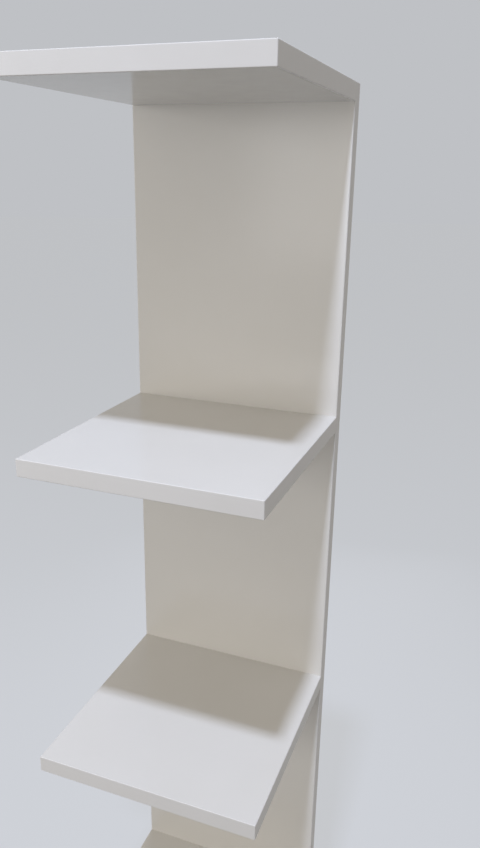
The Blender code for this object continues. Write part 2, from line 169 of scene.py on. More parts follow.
def add_slab(name, low, high):
    """A cube stretched between two corners, with its place in its mesh."""
    bpy.ops.mesh.primitive_cube_add(size=1, location=(low + high) / 2)
    slab = bpy.context.object
    slab.name = name
    slab.scale = high - low
    bpy.ops.object.transform_apply(location=True, rotation=True, scale=True)
    return slab


panel_low, panel_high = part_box("back_panel_board")
panel_low.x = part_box("back_panel_band_left")[1].x + GLUE_SEAM
panel_high.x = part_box("back_panel_band_right")[0].x - GLUE_SEAM
panel_low.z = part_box("back_panel_band_bottom")[1].z + GLUE_SEAM
panel_high.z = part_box("back_panel_band_top")[0].z - GLUE_SEAM
panel_front = panel_low.y
panel_back = panel_high.y
panel = add_slab("back_panel", panel_low, panel_high)

SHELF_COUNT = 5
SHELF_NUMBERS = range(1, SHELF_COUNT + 1)
SIDES = ("left", "right")
SCREW_HEAD_HOLE_RADIUS = 5.15 * MM
SCREW_HEAD_HOLE_DEPTH = 1.6 * MM
SCREW_HOLE_RADIUS = 3.6 * MM
SCREW_HOLE_CONE = 2 * MM
DOWEL_HOLE_RADIUS = 4.05 * MM
PEG_HOLE_RADIUS = 2.5 * MM
HOLE_SPARE = 0.5 * MM
HOLE_OVERRUN = 2 * MM
HOLE_SIDES = 32
SAME_PLACE = 0.001 * MM
INTO_BACK = (-math.pi / 2, 0, 0)


def set_at(piece, place, turn=(0, 0, 0)):
    """Turns and moves a piece that was made at the origin, and leaves its place in its mesh."""
    only(piece)
    piece.rotation_euler = turn
    piece.location = place
    bpy.ops.object.transform_apply(location=True, rotation=True, scale=True)
    return piece


def add_turned(name, profile, sides=HOLE_SIDES):
    """A turned shape about Z: a filled circle is extruded and scaled from point to point of a profile.

    The profile's points are (radius, height), from one end of the shape to the other.
    """
    radius, height = profile[0]
    bpy.ops.mesh.primitive_circle_add(
        vertices=sides, radius=radius, fill_type="NGON", location=(0, 0, height)
    )
    turned = bpy.context.object
    turned.name = name
    bpy.ops.object.transform_apply(location=True, rotation=True, scale=True)
    bpy.ops.object.mode_set(mode="EDIT")
    bpy.ops.mesh.select_all(action="SELECT")
    for next_radius, next_height in profile[1:]:
        step = (0, 0, next_height - height)
        bpy.ops.mesh.extrude_region_move(TRANSFORM_OT_translate={"value": step})
        share = next_radius / radius
        bpy.ops.transform.resize(value=(share, share, 1), center_override=(0, 0, 0))
        radius, height = next_radius, next_height
    bpy.ops.mesh.select_all(action="SELECT")
    bpy.ops.mesh.normals_make_consistent(inside=False)
    bpy.ops.object.mode_set(mode="OBJECT")
    return turned


def middle_of(node):
    """The middle of a node's box."""
    low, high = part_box(node)
    return (low + high) / 2


def peg_holes(glides):
    """Bores for the pegs of glides, up from below."""
    bores = []
    for node in glides:
        low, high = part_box(node)
        bore = add_turned("bore", [(PEG_HOLE_RADIUS, low.z), (PEG_HOLE_RADIUS, high.z)])
        axis = middle_of(node)
        bores.append(set_at(bore, (axis.x, axis.y, HOLE_SPARE)))
    return bores


def join_doubles(piece):
    """Makes one of points that a cut or a bevel left on top of each other."""
    only(piece)
    bpy.ops.object.mode_set(mode="EDIT")
    bpy.ops.mesh.select_all(action="SELECT")
    bpy.ops.mesh.remove_doubles(threshold=SAME_PLACE)
    bpy.ops.object.mode_set(mode="OBJECT")


def cut_out(piece, cutters):
    """Takes shapes that don't touch each other out of a piece. The shapes go."""
    only(cutters[0])
    for cutter in cutters:
        cutter.select_set(True)
    if len(cutters) > 1:
        bpy.ops.object.join()
    joined = bpy.context.object
    only(piece)
    boolean = piece.modifiers.new("holes", "BOOLEAN")
    boolean.operation = "DIFFERENCE"
    boolean.solver = "EXACT"
    boolean.object = joined
    bpy.ops.object.modifier_apply(modifier=boolean.name)
    bpy.data.objects.remove(joined)
    join_doubles(piece)


screw_way = [
    (SCREW_HEAD_HOLE_RADIUS, HOLE_OVERRUN),
    (SCREW_HEAD_HOLE_RADIUS, -SCREW_HEAD_HOLE_DEPTH),
    (SCREW_HOLE_RADIUS, -SCREW_HEAD_HOLE_DEPTH - SCREW_HOLE_CONE),
    (SCREW_HOLE_RADIUS, panel_front - panel_back - HOLE_OVERRUN),
]
holes = []
for number in SHELF_NUMBERS:
    for side in SIDES:
        axis = middle_of(f"shelf_{number}_screw_{side}")
        hole = add_turned("screw_hole", screw_way)
        holes.append(set_at(hole, (axis.x, panel_back, axis.z), INTO_BACK))
        low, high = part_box(f"shelf_{number}_dowel_{side}")
        axis = (low + high) / 2
        depth = high.y - panel_front + HOLE_SPARE
        hole = add_turned("bore", [(DOWEL_HOLE_RADIUS, -HOLE_OVERRUN), (DOWEL_HOLE_RADIUS, depth)])
        holes.append(set_at(hole, (axis.x, panel_front, axis.z), INTO_BACK))
cut_out(panel, holes)
cut_out(panel, peg_holes(["glide_rear_left", "glide_rear_right"]))

POCKET_MARGIN = 0.15 * MM
WELL_RADIUS = 6 * MM
WELL_DEPTH = 7 * MM
KEYHOLE_RISE = 12 * MM
PLATE_HOLE_SPACING = 43 * MM
PILOT_RADIUS = 1.8 * MM
PILOT_DEPTH = 17 * MM
ROUND_STEPS = 12
END_FLAT = 0.025 * MM
NEAR = 0.05 * MM


def round_ends(piece, radius, steps=ROUND_STEPS):
    """Bevels the four edges along Y of an upright strip until its ends are half rounds.

    A sliver of flat stays between the rounds. An edge that is shorter than NEAR along Y runs across.
    """
    only(piece)
    bpy.ops.object.mode_set(mode="EDIT")
    bpy.ops.mesh.select_mode(type="EDGE")
    bpy.ops.mesh.select_all(action="DESELECT")
    shape = bmesh.from_edit_mesh(piece.data)
    for edge in shape.edges:
        edge.select_set(abs(edge.verts[0].co.y - edge.verts[1].co.y) > NEAR)
    bmesh.update_edit_mesh(piece.data)
    bpy.ops.mesh.bevel(offset=radius - END_FLAT, segments=steps, affect="EDGES")
    bpy.ops.object.mode_set(mode="OBJECT")
    return piece


pockets = []
wells = []
pilots = []
for side in SIDES:
    low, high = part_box(f"hanger_plate_{side}")
    axis = (low + high) / 2
    margin = Vector((POCKET_MARGIN, POCKET_MARGIN, POCKET_MARGIN))
    pocket = add_slab("pocket", low - margin, high + Vector((margin.x, HOLE_OVERRUN, margin.z)))
    pockets.append(round_ends(pocket, (high.x - low.x) / 2 + POCKET_MARGIN))
    reach = Vector((WELL_RADIUS, 0, WELL_RADIUS + KEYHOLE_RISE / 2))
    well_floor = Vector((axis.x, low.y - WELL_DEPTH, axis.z))
    well_mouth = Vector((axis.x, high.y + HOLE_OVERRUN, axis.z))
    wells.append(round_ends(add_slab("well", well_floor - reach, well_mouth + reach), WELL_RADIUS))
    for end in (-1, 1):
        pilot = add_turned("pilot", [(PILOT_RADIUS, HOLE_OVERRUN), (PILOT_RADIUS, -PILOT_DEPTH)])
        z = axis.z + end * PLATE_HOLE_SPACING / 2
        pilots.append(set_at(pilot, (axis.x, panel_back, z), INTO_BACK))
for shapes in (pockets, wells, pilots):
    cut_out(panel, shapes)

FACING_THICKNESS = 0.3 * MM
CREASE_ANGLE = math.radians(30)


def show_facing(board, axis):
    """Cuts a board's mesh where the melamine ends, so that a hole's mouth shows it over the chipboard.

    The axis is the number of the one that runs through the board's thickness.
    """
    low = min(vert.co[axis] for vert in board.data.vertices)
    high = max(vert.co[axis] for vert in board.data.vertices)
    normal = [0, 0, 0]
    normal[axis] = 1
    only(board)
    bpy.ops.object.mode_set(mode="EDIT")
    for depth in (low + FACING_THICKNESS, high - FACING_THICKNESS):
        bpy.ops.mesh.select_all(action="SELECT")
        bpy.ops.mesh.bisect(plane_co=[side * depth for side in normal], plane_no=normal)
    bpy.ops.object.mode_set(mode="OBJECT")
    board.data.materials.clear()
    board.data.materials.append(melamine)
    board.data.materials.append(chipboard)
    for face in board.data.polygons:
        depth = min(face.center[axis] - low, high - face.center[axis])
        face.material_index = 0 if depth < FACING_THICKNESS else 1


def smooth_rounds(piece, crease=CREASE_ANGLE):
    """Shades round walls smooth and leaves the edges that are sharper than the crease as they are."""
    only(piece)
    bpy.ops.object.shade_smooth_by_angle(angle=crease)


def fit_to_unit(piece, node):
    """The finished piece joins the unit's root body and stands in for its node, which is hidden."""
    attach(piece, "root")
    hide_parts(node)


show_facing(panel, axis=1)
smooth_rounds(panel)
fit_to_unit(panel, "back_panel_board")


# The edging is 1 mm white plastic strip, glued on hot and trimmed flush with the board's faces. Its outer
# arrises are milled round and scraped, which leaves faint lines along the strip.

EDGING_ARRIS = 0.9 * MM
ARRIS_STEPS = 4
EDGING_WHITE = "#dddad6"
EDGING_SHADE = "#d8d5d0"
SCRAPER_LINE = 0.35 * MM
SCRAPER_RELIEF = 0.02 * MM
SCRAPER_WAVE = 45 * MM

# Scraped plastic: the boards' white, duller than their faces, with hair lines along the strip and a slow
# change of tone. The lines keep their real width, so they show only from close by and blur the sheen.
edging, tree, shader = new_finish("scraped_plastic_edging")
strip = add_node(tree, "ShaderNodeAttribute", attribute_name="strip").outputs["Vector"]
drawn = add_node(
    tree,
    "ShaderNodeMapping",
    {"Scale": (1 / SCRAPER_WAVE, 1 / SCRAPER_LINE, 1 / SCRAPER_LINE)},
    {"Vector": strip},
)
lines = add_node(tree, "ShaderNodeTexNoise", {"Scale": 1, "Detail": 3}, {"Vector": drawn.outputs["Vector"]})
waves = add_node(tree, "ShaderNodeTexNoise", {"Scale": 1 / SCRAPER_WAVE, "Detail": 2}, {"Vector": strip})
white = add_node(
    tree,
    "ShaderNodeMix",
    {MIX_FIRST: linear(EDGING_WHITE), MIX_SECOND: linear(EDGING_SHADE)},
    {"Factor": waves.outputs["Fac"]},
    data_type="RGBA",
)
gloss = add_node(
    tree, "ShaderNodeMapRange", {"To Min": 0.42, "To Max": 0.52}, {"Value": lines.outputs["Fac"]}
)
relief = add_node(
    tree, "ShaderNodeBump", {"Strength": 0.3, "Distance": SCRAPER_RELIEF}, {"Height": lines.outputs["Fac"]}
)
tree.links.new(white.outputs[MIX_COLOUR], shader.inputs["Base Color"])
tree.links.new(gloss.outputs["Result"], shader.inputs["Roughness"])
tree.links.new(relief.outputs["Normal"], shader.inputs["Normal"])


def glue_edging(name, low, high, outward, wraps):
    """A strip with its outer arrises rounded: along its length, and round its ends too where it wraps."""
    band = add_slab(name, low, high)
    size = high - low
    thin = max(range(3), key=lambda axis: abs(outward[axis]))
    long = max(range(3), key=lambda axis: size[axis])
    outer = max(vert.co[thin] * outward[thin] for vert in band.data.vertices)
    only(band)
    bpy.ops.object.mode_set(mode="EDIT")
    bpy.ops.mesh.select_mode(type="EDGE")
    bpy.ops.mesh.select_all(action="DESELECT")
    shape = bmesh.from_edit_mesh(band.data)
    for edge in shape.edges:
        outside = [outer - vert.co[thin] * outward[thin] < NEAR for vert in edge.verts]
        run = edge.verts[1].co - edge.verts[0].co
        lengthwise = all(outside) and abs(run[long]) > NEAR
        edge.select_set(lengthwise or (wraps and any(outside)))
    bmesh.update_edit_mesh(band.data)
    bpy.ops.mesh.bevel(offset=EDGING_ARRIS, segments=ARRIS_STEPS, affect="EDGES")
    bpy.ops.object.mode_set(mode="OBJECT")
    band.data.materials.append(edging)
    return band


def smooth_arrises(piece):
    """Shades rounded arrises smooth and keeps the flat faces flat."""
    smooth_rounds(piece)
    flat_faces = piece.modifiers.new("flat_faces", "WEIGHTED_NORMAL")
    flat_faces.keep_sharp = True
    bpy.ops.object.modifier_apply(modifier=flat_faces.name)


def finish_strip(band):
    """Writes each point's place along, across and through the strip, which the scraper's lines follow."""
    smooth_arrises(band)
    size = band.dimensions
    axes = sorted(range(3), key=lambda axis: -size[axis])
    marks = band.data.attributes.new("strip", "FLOAT_VECTOR", "POINT")
    for mark, vert in zip(marks.data, band.data.vertices):
        mark.vector = [vert.co[axis] for axis in axes]


for side, outward in (("left", -1), ("right", 1)):
    low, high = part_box(f"back_panel_band_{side}")
    band = glue_edging(f"back_panel_edging_{side}", low, high, (outward, 0, 0), wraps=True)
    finish_strip(band)
    fit_to_unit(band, f"back_panel_band_{side}")
for end, outward in (("bottom", -1), ("top", 1)):
    low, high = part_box(f"back_panel_band_{end}")
    low.x, high.x = panel_low.x, panel_high.x
    band = glue_edging(f"back_panel_edging_{end}", low, high, (0, 0, outward), wraps=False)
    if end == "bottom":
        cut_out(band, peg_holes(["glide_rear_left", "glide_rear_right"]))
    finish_strip(band)
    fit_to_unit(band, f"back_panel_band_{end}")


# Each shelf is a square of the same faced chipboard. Its back edge is left raw, bored for two screws and two
# dowels, and pulled tight against the panel. The base shelf is bored below for the pegs of two glides.

SCREW_BORE_RADIUS = 3.1 * MM
BORE_SPARE = 1 * MM


def copy_of(piece, name, move=(0, 0, 0)):
    """A copy with its own mesh, moved by a distance."""
    only(piece)
    bpy.ops.object.duplicate()
    copied = bpy.context.object
    copied.name = name
    return set_at(copied, move)


def lift_of(number):
    """How far a shelf lies above the base."""
    return Vector((0, 0, middle_of(f"shelf_{number}_board").z - middle_of("shelf_1_board").z))


shelf_low, shelf_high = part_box("shelf_1_board")
shelf_low.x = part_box("shelf_1_band_left")[1].x + GLUE_SEAM
shelf_high.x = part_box("shelf_1_band_right")[0].x - GLUE_SEAM
shelf_low.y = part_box("shelf_1_band_front")[1].y + GLUE_SEAM
shelf_high.y = panel_front - GLUE_SEAM
base = add_slab("shelf_1", shelf_low, shelf_high)
bores = []
for side in SIDES:
    for kind, radius in (("screw", SCREW_BORE_RADIUS), ("dowel", DOWEL_HOLE_RADIUS)):
        low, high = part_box(f"shelf_1_{kind}_{side}")
        axis = (low + high) / 2
        depth = shelf_high.y - low.y + BORE_SPARE
        bore = add_turned("bore", [(radius, HOLE_OVERRUN), (radius, -depth)])
        bores.append(set_at(bore, (axis.x, shelf_high.y, axis.z), INTO_BACK))
cut_out(base, bores)

shelves = {1: base}
for number in SHELF_NUMBERS[1:]:
    shelves[number] = copy_of(base, f"shelf_{number}", lift_of(number))
cut_out(base, peg_holes(["glide_front_left", "glide_front_right"]))
for number, shelf in shelves.items():
    show_facing(shelf, axis=2)
    smooth_rounds(shelf)
    fit_to_unit(shelf, f"shelf_{number}_board")


# Three edges of each shelf carry the same plastic strip: the two sides first, then the front over their
# ends, so that the joint faces sideways. The back edge is left without one.

low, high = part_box("shelf_1_band_front")
bands = {"front": glue_edging("shelf_1_edging_front", low, high, (0, -1, 0), wraps=True)}
for side, outward in (("left", -1), ("right", 1)):
    low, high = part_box(f"shelf_1_band_{side}")
    low.y, high.y = shelf_low.y, shelf_high.y
    bands[side] = glue_edging(f"shelf_1_edging_{side}", low, high, (outward, 0, 0), wraps=False)
for side, band in bands.items():
    for number in SHELF_NUMBERS[1:]:
        copied = copy_of(band, f"shelf_{number}_edging_{side}", lift_of(number))
        finish_strip(copied)
        fit_to_unit(copied, f"shelf_{number}_band_{side}")
    finish_strip(band)
    fit_to_unit(band, f"shelf_1_band_{side}")


# The shelf screws are 70 mm long, of cold-headed steel, zinc plated, with a flat head, a hexagon socket and
# a coarse rolled thread for chipboard. They are driven from behind and stop just under the panel's back,
# each with its socket at its own angle.

SCREW_PROFILE = [
    (4.6 * MM, 0),
    (4.9 * MM, -0.25 * MM),
    (4.9 * MM, -0.95 * MM),
    (3.4 * MM, -2.9 * MM),
    (3.4 * MM, -20.8 * MM),
    (2.15 * MM, -21.8 * MM),
    (2.15 * MM, -64 * MM),
    (1.1 * MM, -69.4 * MM),
    (0.5 * MM, -70 * MM),
]
THREAD_MERGE = 0.005 * MM
SCREW_THREAD_CREST = 2.95 * MM
SCREW_THREAD_ROOT = 2 * MM
SCREW_THREAD_PITCH = 3 * MM
SCREW_THREAD_BASE = 1.3 * MM
SCREW_THREAD_START = -23.5 * MM
SCREW_THREAD_TURNS = 14
SCREW_THREAD_STEPS = 20
SOCKET_SIDES = 6
SOCKET_RADIUS = 2.31 * MM
SOCKET_MOUTH_RADIUS = 2.6 * MM
SOCKET_DEPTH = 2.5 * MM
SOCKET_POINT_RADIUS = SOCKET_RADIUS / 4
SOCKET_POINT_DEPTH = SOCKET_RADIUS / 3
SOCKET_TURNS = {"left": math.radians(37), "right": math.radians(-74)}
ZINC = "#c2c3c0"
ZINC_YELLOW = "#cfc8ae"
ZINC_CLOUD = 4 * MM
ZINC_GRAIN = 0.25 * MM
ZINC_RELIEF = 0.01 * MM

# Zinc plated steel: a light grey metal with faint yellow clouds and a fine grain that blurs its highlights.
zinc, tree, shader = new_finish("zinc_plated_steel", metallic=1.0)
place = add_node(tree, "ShaderNodeTexCoord").outputs["Object"]
clouds = add_node(tree, "ShaderNodeTexNoise", {"Scale": 1 / ZINC_CLOUD, "Detail": 3}, {"Vector": place})
tint = add_node(
    tree,
    "ShaderNodeMix",
    {MIX_FIRST: linear(ZINC), MIX_SECOND: linear(ZINC_YELLOW)},
    {"Factor": clouds.outputs["Fac"]},
    data_type="RGBA",
)
gloss = add_node(
    tree, "ShaderNodeMapRange", {"To Min": 0.26, "To Max": 0.42}, {"Value": clouds.outputs["Fac"]}
)
grain = add_node(tree, "ShaderNodeTexNoise", {"Scale": 1 / ZINC_GRAIN, "Detail": 2}, {"Vector": place})
relief = add_node(
    tree, "ShaderNodeBump", {"Strength": 0.3, "Distance": ZINC_RELIEF}, {"Height": grain.outputs["Fac"]}
)
tree.links.new(tint.outputs[MIX_COLOUR], shader.inputs["Base Color"])
tree.links.new(gloss.outputs["Result"], shader.inputs["Roughness"])
tree.links.new(relief.outputs["Normal"], shader.inputs["Normal"])


def roll_thread(shank, root, crest, base, pitch, start, turns, steps):
    """Winds a triangular ridge down a shank, thins it out at both ends and joins the two."""
    bpy.ops.mesh.primitive_circle_add(vertices=3, radius=base, fill_type="NOTHING")
    ridge = bpy.context.object
    section = ((root, start + base / 2), (crest, start), (root, start - base / 2))
    for vert, (x, z) in zip(ridge.data.vertices, section):
        vert.co = (x, 0, z)
    winding = ridge.modifiers.new("winding", "SCREW")
    winding.axis = "Z"
    winding.screw_offset = -pitch
    winding.iterations = turns
    winding.steps = steps
    winding.render_steps = steps
    winding.use_merge_vertices = True
    winding.merge_threshold = THREAD_MERGE
    bpy.ops.object.modifier_apply(modifier=winding.name)
    bpy.ops.object.mode_set(mode="EDIT")
    bpy.ops.mesh.select_all(action="SELECT")
    bpy.ops.mesh.fill_holes(sides=3)
    bpy.ops.mesh.select_all(action="SELECT")
    bpy.ops.mesh.normals_make_consistent(inside=False)
    bpy.ops.object.mode_set(mode="OBJECT")
    end = start - pitch * turns
    for vert in ridge.data.vertices:
        radius = math.hypot(vert.co.x, vert.co.y)
        nearest = min(start - vert.co.z, vert.co.z - end) + base / 2
        height = (radius - root) * min(1, max(nearest, 0) / pitch)
        vert.co.x *= (root + height) / radius
        vert.co.y *= (root + height) / radius
    only(shank)
    union = shank.modifiers.new("thread", "BOOLEAN")
    union.operation = "UNION"
    union.solver = "EXACT"
    union.object = ridge
    bpy.ops.object.modifier_apply(modifier=union.name)
    bpy.data.objects.remove(ridge)
    join_doubles(shank)


def drive_in(pattern, name, node, spin=0):
    """A copy of a screw or a dowel, spun about its axis and set in from the back where its node is."""
    driven = copy_of(pattern, name)
    set_at(driven, (0, 0, 0), (0, 0, spin))
    axis = middle_of(node)
    return set_at(driven, (axis.x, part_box(node)[1].y, axis.z), INTO_BACK)


screw = add_turned("shelf_screw", SCREW_PROFILE)
roll_thread(
    screw,
    SCREW_THREAD_ROOT,
    SCREW_THREAD_CREST,
    SCREW_THREAD_BASE,
    SCREW_THREAD_PITCH,
    SCREW_THREAD_START,
    SCREW_THREAD_TURNS,
    SCREW_THREAD_STEPS,
)
socket_profile = [
    (SOCKET_MOUTH_RADIUS, HOLE_OVERRUN),
    (SOCKET_MOUTH_RADIUS, 0),
    (SOCKET_RADIUS, SOCKET_RADIUS - SOCKET_MOUTH_RADIUS),
    (SOCKET_RADIUS, -SOCKET_DEPTH),
    (SOCKET_POINT_RADIUS, -SOCKET_DEPTH - SOCKET_POINT_DEPTH),
]
cut_out(screw, [add_turned("socket", socket_profile, SOCKET_SIDES)])
smooth_rounds(screw)
screw.data.materials.clear()
screw.data.materials.append(zinc)
for number in SHELF_NUMBERS:
    for side in SIDES:
        node = f"shelf_{number}_screw_{side}"
        spin = SOCKET_TURNS[side] * number
        piece = drive_in(screw, f"shelf_{number}_long_screw_{side}", node, spin)
        fit_to_unit(piece, node)
bpy.data.objects.remove(screw)


# The dowels are 8 x 30 mm beech, pressed with straight flutes that let the glue out, and chamfered at both
# ends. They sit beside the screws and keep each shelf from turning.

DOWEL_RADIUS = 3.95 * MM
DOWEL_END_RADIUS = 3.1 * MM
DOWEL_CHAMFER = 1.1 * MM
FLUTES = 14
SIDES_A_FLUTE = 3
FLUTE_SHARE = 0.92
BEECH_PALE = "#d2b388"
BEECH_DARK = "#b58c5c"
BEECH_FLECK = "#9a6f45"
BEECH_GRAIN = 0.8 * MM
BEECH_GRAIN_RELIEF = 0.05 * MM
BEECH_RAY = 0.6 * MM
ALONG_GRAIN_SHARE = 0.06
ALONG_RAY_SHARE = 0.25

# Beech: a pale brown with straight grain along the dowel and short dark flecks, dull from the press.
beech, tree, shader = new_finish("pressed_beech")
place = add_node(tree, "ShaderNodeTexCoord").outputs["Object"]
along = add_node(tree, "ShaderNodeMapping", {"Scale": (1, ALONG_GRAIN_SHARE, 1)}, {"Vector": place})
grain = add_node(
    tree, "ShaderNodeTexNoise", {"Scale": 1 / BEECH_GRAIN, "Detail": 4}, {"Vector": along.outputs["Vector"]}
)
wood = add_node(
    tree,
    "ShaderNodeMix",
    {MIX_FIRST: linear(BEECH_PALE), MIX_SECOND: linear(BEECH_DARK)},
    {"Factor": grain.outputs["Fac"]},
    data_type="RGBA",
)
short = add_node(tree, "ShaderNodeMapping", {"Scale": (1, ALONG_RAY_SHARE, 1)}, {"Vector": place})
rays = add_node(
    tree, "ShaderNodeTexVoronoi", {"Scale": 1 / BEECH_RAY}, {"Vector": short.outputs["Vector"]}
)
fleck = add_node(
    tree,
    "ShaderNodeMapRange",
    {"From Min": 0.0, "From Max": 0.25, "To Min": 0.7, "To Max": 0.0},
    {"Value": rays.outputs["Distance"]},
)
colour = add_node(
    tree,
    "ShaderNodeMix",
    {MIX_SECOND: linear(BEECH_FLECK)},
    {"Factor": fleck.outputs["Result"], MIX_FIRST: wood.outputs[MIX_COLOUR]},
    data_type="RGBA",
)
relief = add_node(
    tree,
    "ShaderNodeBump",
    {"Strength": 0.4, "Distance": BEECH_GRAIN_RELIEF},
    {"Height": grain.outputs["Fac"]},
)
shader.inputs["Roughness"].default_value = 0.62
tree.links.new(colour.outputs[MIX_COLOUR], shader.inputs["Base Color"])
tree.links.new(relief.outputs["Normal"], shader.inputs["Normal"])

dowel_low, dowel_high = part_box("shelf_1_dowel_left")
dowel_length = dowel_high.y - dowel_low.y
dowel_profile = [
    (DOWEL_END_RADIUS, 0),
    (DOWEL_RADIUS, -DOWEL_CHAMFER),
    (DOWEL_RADIUS, DOWEL_CHAMFER - dowel_length),
    (DOWEL_END_RADIUS, -dowel_length),
]
dowel = add_turned("dowel", dowel_profile, FLUTES * SIDES_A_FLUTE)

# One line of points for each flute is picked along the wall and drawn in towards the axis.
bpy.ops.object.mode_set(mode="EDIT")
bpy.ops.mesh.select_mode(type="VERT")
bpy.ops.mesh.select_all(action="DESELECT")
shape = bmesh.from_edit_mesh(dowel.data)
for vert in shape.verts:
    turn = math.atan2(vert.co.y, vert.co.x) / (2 * math.pi) * FLUTES
    on_wall = math.hypot(vert.co.x, vert.co.y) > (DOWEL_RADIUS + DOWEL_END_RADIUS) / 2
    vert.select_set(on_wall and abs(turn - round(turn)) < 1 / (2 * SIDES_A_FLUTE))
bmesh.update_edit_mesh(dowel.data)
bpy.ops.transform.resize(value=(FLUTE_SHARE, FLUTE_SHARE, 1), center_override=(0, 0, 0))
bpy.ops.object.mode_set(mode="OBJECT")
dowel.data.materials.append(beech)
for number in SHELF_NUMBERS:
    for side in SIDES:
        node = f"shelf_{number}_dowel_{side}"
        fit_to_unit(drive_in(dowel, f"shelf_{number}_fluted_dowel_{side}", node), node)
bpy.data.objects.remove(dowel)


# The floor glides are moulded nylon: a foot with rounded rims and a hollowed sole, which has the gate's mark
# in its middle, and a barbed peg that is knocked into the board.

GLIDE_RADIUS = 8.4 * MM
FOOT_RADIUS = 6.4 * MM
SOLE_RADIUS = 4.3 * MM
SOLE_DEPTH = 0.7 * MM
GATE_RADIUS = 0.7 * MM
GATE_HEIGHT = 0.3 * MM
RIM_ROUND = 0.5 * MM
FOOT_HEIGHT = 5.6 * MM
FOOT_SLOPE_TOP = 3 * MM
PEG_RADIUS = 2.1 * MM
BARB_RADIUS = 2.45 * MM
BARB_PITCH = 2.6 * MM
BARB_COUNT = 4
PEG_TIP_RADIUS = 1.6 * MM
GLIDE_CREASE_ANGLE = math.radians(40)
NYLON_WHITE = "#e6e4de"
NYLON_SHADE = "#dedbd2"
NYLON_FLOW = 6 * MM
NYLON_GRAIN = 0.3 * MM
NYLON_RELIEF = 0.02 * MM
NYLON_LIGHT_DEPTH = 2 * MM

# Nylon: a milky white that lets a little light in, with slow flow marks and the mould's fine dull grain.
nylon, tree, shader = new_finish("moulded_nylon", ior=1.53)
place = add_node(tree, "ShaderNodeTexCoord").outputs["Object"]
flow = add_node(tree, "ShaderNodeTexNoise", {"Scale": 1 / NYLON_FLOW, "Detail": 2}, {"Vector": place})
white = add_node(
    tree,
    "ShaderNodeMix",
    {MIX_FIRST: linear(NYLON_WHITE), MIX_SECOND: linear(NYLON_SHADE)},
    {"Factor": flow.outputs["Fac"]},
    data_type="RGBA",
)
grain = add_node(tree, "ShaderNodeTexNoise", {"Scale": 1 / NYLON_GRAIN, "Detail": 1}, {"Vector": place})
relief = add_node(
    tree, "ShaderNodeBump", {"Strength": 0.3, "Distance": NYLON_RELIEF}, {"Height": grain.outputs["Fac"]}
)
shader.inputs["Roughness"].default_value = 0.48
shader.inputs["Subsurface Weight"].default_value = 0.15
shader.inputs["Subsurface Radius"].default_value = (NYLON_LIGHT_DEPTH, NYLON_LIGHT_DEPTH, NYLON_LIGHT_DEPTH)
shader.inputs["Subsurface Scale"].default_value = 1
tree.links.new(white.outputs[MIX_COLOUR], shader.inputs["Base Color"])
tree.links.new(relief.outputs["Normal"], shader.inputs["Normal"])

glide_low, glide_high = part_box("glide_front_left")
peg_top = glide_high.z - glide_low.z
glide_profile = [
    (GATE_RADIUS, SOLE_DEPTH - GATE_HEIGHT),
    (GATE_RADIUS, SOLE_DEPTH),
    (SOLE_RADIUS, SOLE_DEPTH),
    (SOLE_RADIUS + RIM_ROUND / 2, RIM_ROUND / 2),
    (SOLE_RADIUS + RIM_ROUND, 0),
    (FOOT_RADIUS - RIM_ROUND, 0),
    (FOOT_RADIUS, RIM_ROUND / 2),
    (GLIDE_RADIUS - RIM_ROUND / 3, FOOT_SLOPE_TOP - RIM_ROUND),
    (GLIDE_RADIUS, FOOT_SLOPE_TOP + RIM_ROUND),
    (GLIDE_RADIUS, FOOT_HEIGHT - RIM_ROUND),
    (GLIDE_RADIUS - RIM_ROUND / 3, FOOT_HEIGHT - RIM_ROUND / 3),
    (GLIDE_RADIUS - RIM_ROUND, FOOT_HEIGHT),
    (PEG_RADIUS, FOOT_HEIGHT),
]
for barb in range(1, BARB_COUNT + 1):
    height = FOOT_HEIGHT + barb * BARB_PITCH
    glide_profile.append((BARB_RADIUS, height - BARB_PITCH / 2))
    glide_profile.append((PEG_RADIUS, height))
glide_profile.append((PEG_RADIUS, peg_top - RIM_ROUND))
glide_profile.append((PEG_TIP_RADIUS, peg_top))
glide = add_turned("glide", glide_profile)
smooth_rounds(glide, GLIDE_CREASE_ANGLE)
glide.data.materials.append(nylon)
for row in ("front", "rear"):
    for side in SIDES:
        node = f"glide_{row}_{side}"
        axis = middle_of(node)
        piece = copy_of(glide, f"floor_{node}", (axis.x, axis.y, glide_low.z))
        fit_to_unit(piece, node)
bpy.data.objects.remove(glide)


# Two keyhole plates hang the unit on the wall. Each is stamped from 2 mm galvanised steel strip, rounded at
# its ends and countersunk for two screws, and lies flush in its routed pocket.

ENTRY_RADIUS = 4.75 * MM
SLOT_RADIUS = 2.5 * MM
COUNTERSINK_RADIUS = 3.7 * MM
PLATE_HOLE_RADIUS = 1.95 * MM
PLATE_ROUND_STEPS = 14
PLATE_ARRIS = 0.25 * MM
PLATE_ARRIS_STEPS = 2
PLATE_ARRIS_ANGLE = math.radians(60)
GALVANISED = "#b7babd"
GALVANISED_DARK = "#a4a8ac"
SPANGLE = 3 * MM
ROLLED_SCRATCH = 0.3 * MM
ROLLED_RELIEF = 0.01 * MM
ALONG_ROLLING_SHARE = 0.04

